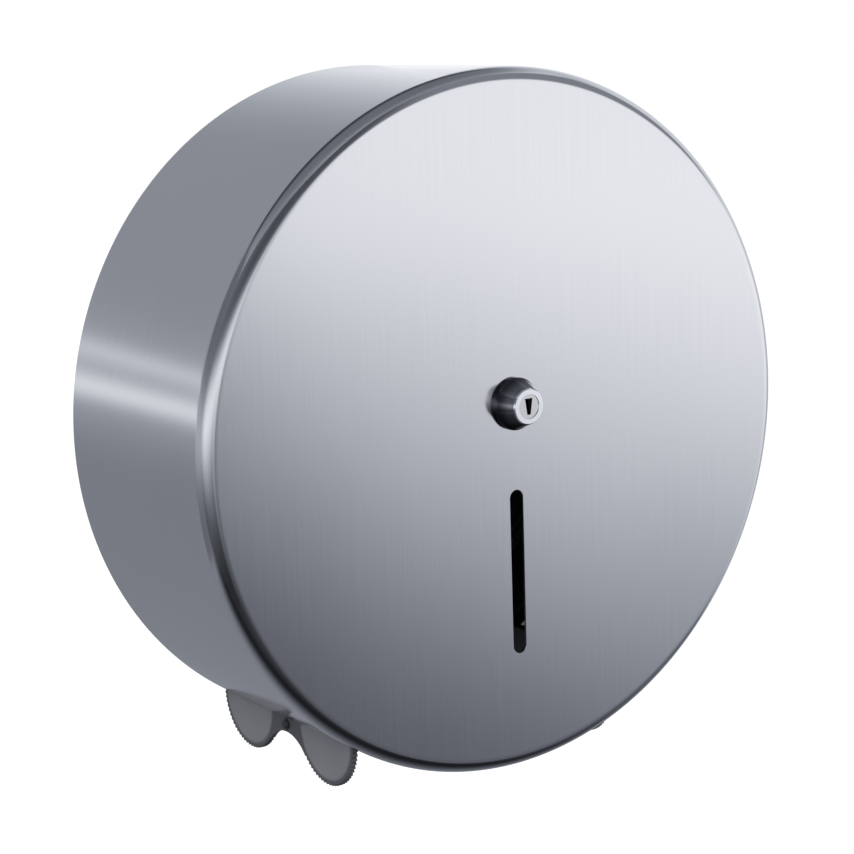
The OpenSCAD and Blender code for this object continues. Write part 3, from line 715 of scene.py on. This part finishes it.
def cutter_plastic(name, lobe_up):
    """Moulded grey plastic with a spark-eroded surface, and a band of painted shade round each lobe's
    teeth, where it is a touch glossier.
    """
    finish = Finish(bpy.data.materials.new(name))
    _, y, z = finish.place()
    along = (y + lobe_middle).math("ABSOLUTE") - lobe_half_pitch
    # Painted shade: a mask for a dark band round each lobe's toothed rim
    edge = soft_step((along**2 + (z - lobe_up) ** 2) ** 0.5, lobe_plain, lobe_teeth)
    pits = finish.cloud(0.0005, detail=3.0)
    flow = finish.cloud(0.018)
    moulded = finish.blend(0.7 * flow + 0.3 * pits, (0.19, 0.193, 0.212), (0.265, 0.27, 0.292))
    # The painted shade round the teeth is this near-black grey
    finish.surface(finish.blend(edge, moulded, (0.085, 0.086, 0.094)), 0.38 + 0.18 * pits - 0.06 * edge)
    finish.relief(pits, 0.00004)
    return finish


flap_rivets = []
for name, (side, flap_x, flap_top) in flaps.items():
    finish_nodes(cutter_plastic(f"grey_plastic_{name}", flap_top - lobe_drop), f"cutter_{name}")
    for depth in flap_rivet_depths:
        flap_rivets.append(((flap_x + side * sheet, -depth, flap_top - flap_rivet_drop), (side, 0, 0)))
add_rivets("flap_rivets", "cover", "cutter_rivets", rivet_shank, flap_rivet_grip, flap_rivets)
zinc = metal("zinc_plated_steel", (0.52, 0.545, 0.575), (0.72, 0.725, 0.71), 0.32, spread=0.16, patch=0.004)
finish_nodes(zinc, "cutter_nuts")


def coated(name, dark, pale, roughness, relief=0.00003):
    """Blackened steel or moulded plastic: a fine even texture and faint clouds of colour."""
    finish = Finish(bpy.data.materials.new(name))
    pits = finish.cloud(0.0006, detail=3.0)
    flow = finish.cloud(0.015)
    finish.surface(finish.blend(0.5 * pits + 0.5 * flow, dark, pale), pits * 0.16 + (roughness - 0.08))
    finish.relief(pits, relief)
    return finish


black_steel = coated("black_steel", (0.018, 0.018, 0.019), (0.045, 0.044, 0.043), 0.4)
finish_nodes(black_steel, "cutter_backing_left", "cutter_backing_right", "cutter_screws")


# ---- Lock ----------------------------------------------------------------------------------
# A cam lock: a chromed cone stands out of the cover and is held by a nut behind it. A
# nickelled plug with brass wafers turns in it, and swings a plated bar behind the keeper.
lock_front = -lock_low[1]
plug_front = -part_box("lock_plug")[0][1]


def turned(name, dark, pale, roughness, *tints):
    """Plated turned metal: faint rings about the lock's axis, and marks of handling. Each tint
    is a colour, the two depths between which it changes, and its share at each of them."""
    finish = Finish(bpy.data.materials.new(name))
    x, y, z = finish.place()
    rings = finish.streaks((x**2 + (z - lock_up) ** 2) ** 0.5, y, 0.0003, 0.004)
    rubs = finish.cloud(0.002, detail=4.0)
    color = finish.blend(0.5 * rings + 0.5 * rubs, dark, pale)
    for tint, (start, end), (low, high) in tints:
        color = finish.blend(soft_step(-y, start, end, low, high), color, tint)
    finish.surface(color, roughness * 0.6 + rubs * (0.8 * roughness), metallic=1.0)
    finish.relief(rings, 0.000003)
    return finish


# The cone's colour is darkened, most of all at its wide end, and the chrome's own colour is kept dark:
# painted shade that stands for the dark surroundings the cone reflects. The ring round the plug
# is painted bright, a painted highlight. The keyway is painted dark behind the plug's front:
# painted shade in the recess.
# Painted shade: the cone's colour darkens towards its wide end
painted_cone_shade = ((0.055, 0.057, 0.065), (lock_front - 0.0078, lock_front - 0.0015), (0.92, 0.0))
# Painted highlight: the ring round the plug is painted near white
painted_ring_highlight = ((0.93, 0.935, 0.95), (lock_front - 0.0009, lock_front - 0.0005), (0.0, 1.0))
# The chrome's own colour is kept dark: painted shade on the cone
chrome = turned("chrome", (0.36, 0.365, 0.38), (0.46, 0.465, 0.48), 0.07, painted_cone_shade, painted_ring_highlight)
finish_nodes(chrome, "lock_housing")
# Painted shade: the keyway darkened behind the plug's front
painted_keyway_shade = ((0.07, 0.065, 0.06), (plug_front - 0.0003, plug_front - 0.00005), (1.0, 0.0))
nickel = turned("nickel_plated_plug", (0.66, 0.65, 0.63), (0.83, 0.82, 0.80), 0.16, painted_keyway_shade)
finish_nodes(nickel, "lock_plug")
finish_nodes(metal("brass", (0.60, 0.44, 0.19), (0.80, 0.64, 0.34), 0.25, patch=0.003), "lock_wafers")
finish_nodes(zinc, "lock_washer", "lock_nut", "lock_bar")
finish_nodes(black_steel, "lock_clip", "lock_bar_screw")


# ---- Spindle and keeper --------------------------------------------------------------------
# A zinc-plated steel post stands on a flange riveted to the back plate. The cup screwed to
# its end has the slotted plate that the lock's bar turns behind.
flange_front, flange_rivet_shank = 0.003, 0.0048
finish_nodes(zinc, "spindle_flange", "spindle_post", "keeper_cup", "keeper_plate")
finish_nodes(black_steel, "keeper_screw")
on_flange = []
for side in (-1, 1):
    for up in (-1, 1):
        spot = (side * flange_rivet_out, -flange_front, lock_up + up * flange_rivet_out)
        on_flange.append((spot, (0, -1, 0)))
add_rivets("flange_rivets_domed", "wall_unit", "flange_rivets",
           flange_rivet_shank, flange_front, on_flange, flush=True)


# ---- Roll hub ------------------------------------------------------------------------------
# A white moulded hub turns on the post between nylon washers, and a pale grey adapter is
# pushed over it for the wider paper core.
white_plastic = coated("white_plastic", (0.68, 0.68, 0.65), (0.78, 0.78, 0.755), 0.42, relief=0.00002)
finish_nodes(white_plastic, "rear_washer", "front_washer", "core_hub")
grey_plastic = coated("pale_grey_plastic", (0.40, 0.41, 0.43), (0.49, 0.50, 0.52), 0.42, relief=0.00002)
finish_nodes(grey_plastic, "core_adapter")
